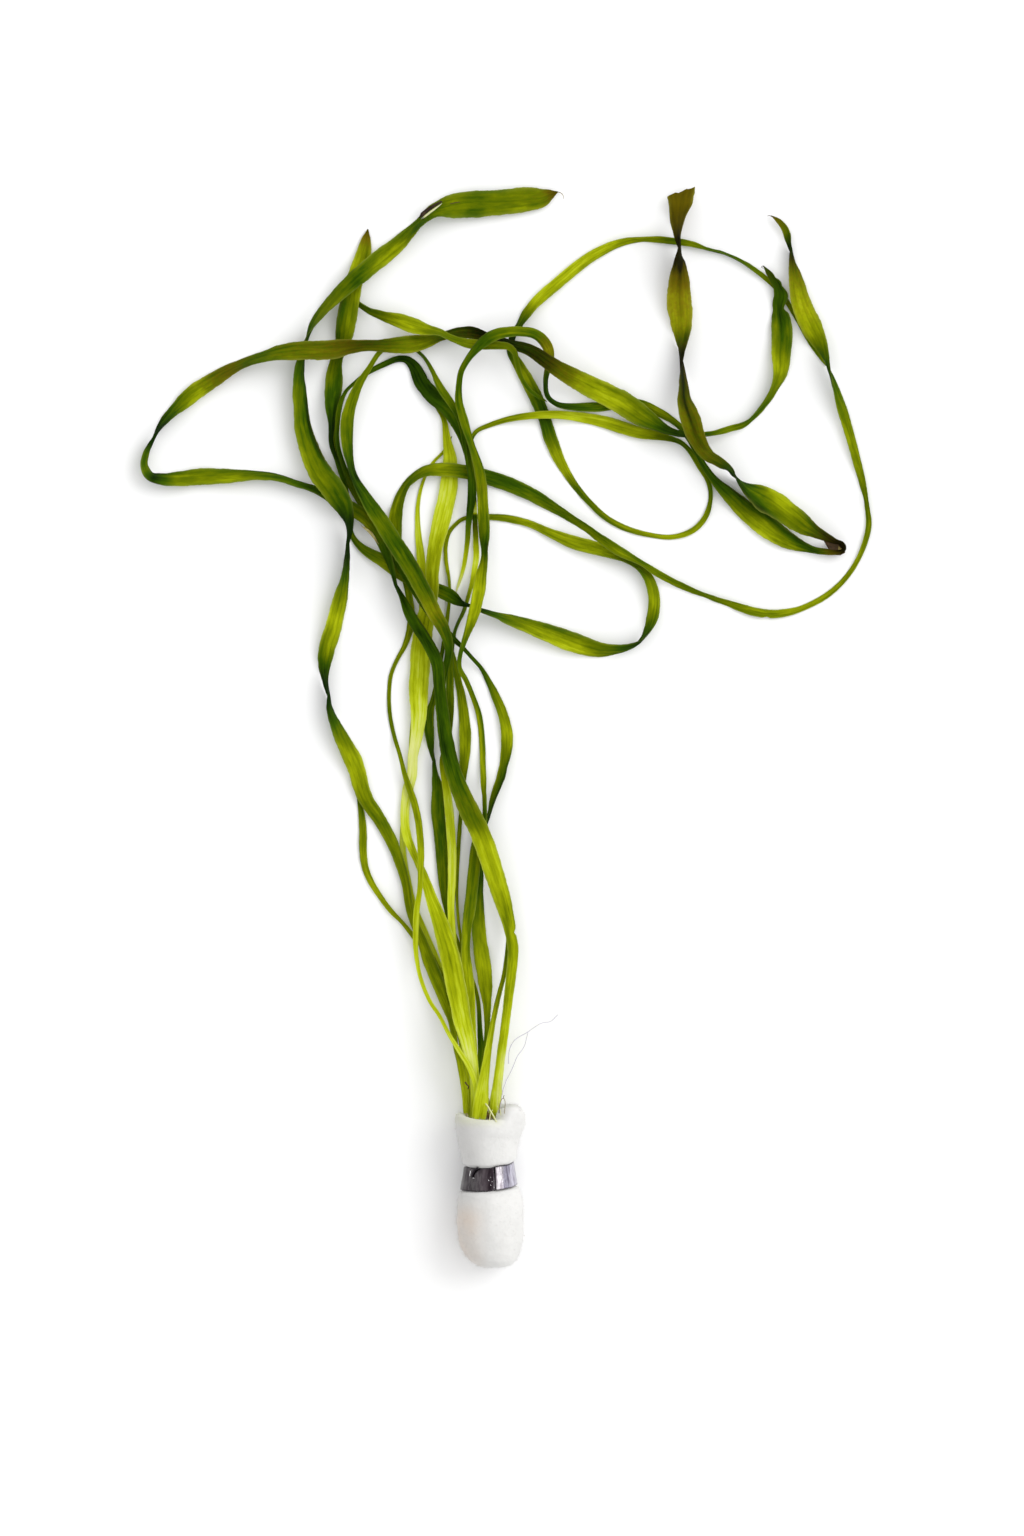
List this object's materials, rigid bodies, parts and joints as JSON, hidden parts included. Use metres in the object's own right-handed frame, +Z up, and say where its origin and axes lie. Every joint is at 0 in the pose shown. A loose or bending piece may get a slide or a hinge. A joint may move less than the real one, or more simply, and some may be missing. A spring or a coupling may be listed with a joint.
{
  "type": "twisted vallisneria bunch",
  "caption": "Bunch of long twisted ribbon leaves lying flat, their bases held in a foam plug with a soft metal strip wound round it, for planting in an aquarium.",
  "frame": {"origin": "on the surface the bunch lies on, under the middle of its outline", "axes": "+Y from the foam plug towards the leaf tips, +X to the right as seen from above, +Z up from the surface"},
  "size_m": [0.219, 0.3235, 0.0206],
  "materials": {
    "leaf_green": "soft leaf, half gloss, slightly see-through, fine lengthwise veins",
    "leaf_pale": "pale soft leaf, half gloss, slightly see-through, fine lengthwise veins",
    "leaf_dark": "dark soft leaf, half gloss, fine lengthwise veins",
    "leaf_olive": "olive soft leaf with brown ends, half gloss, fine lengthwise veins",
    "foam": "white open foam, matt, slightly fuzzy",
    "soft_metal": "soft grey metal strip, dull with bright streaks",
    "crown": "pale fibrous stem and roots, matt"
  },
  "bodies": {
    "root": {"leaf_tall_left": "leaf_green", "leaf_short_left": "leaf_green", "leaf_right_sweep": "leaf_green", "leaf_pale_broad": "leaf_pale", "leaf_pale_narrow": "leaf_pale", "leaf_middle_loop": "leaf_green", "leaf_far_loop": "leaf_green", "leaf_round_loop": "leaf_green", "leaf_inner_arch": "leaf_green", "leaf_dark_arch": "leaf_dark", "leaf_brown_tipped": "leaf_olive", "leaf_top_run": "leaf_green", "foam_plug": "foam", "metal_strip": "soft_metal", "crown": "crown"}
  },
  "joints": []
}
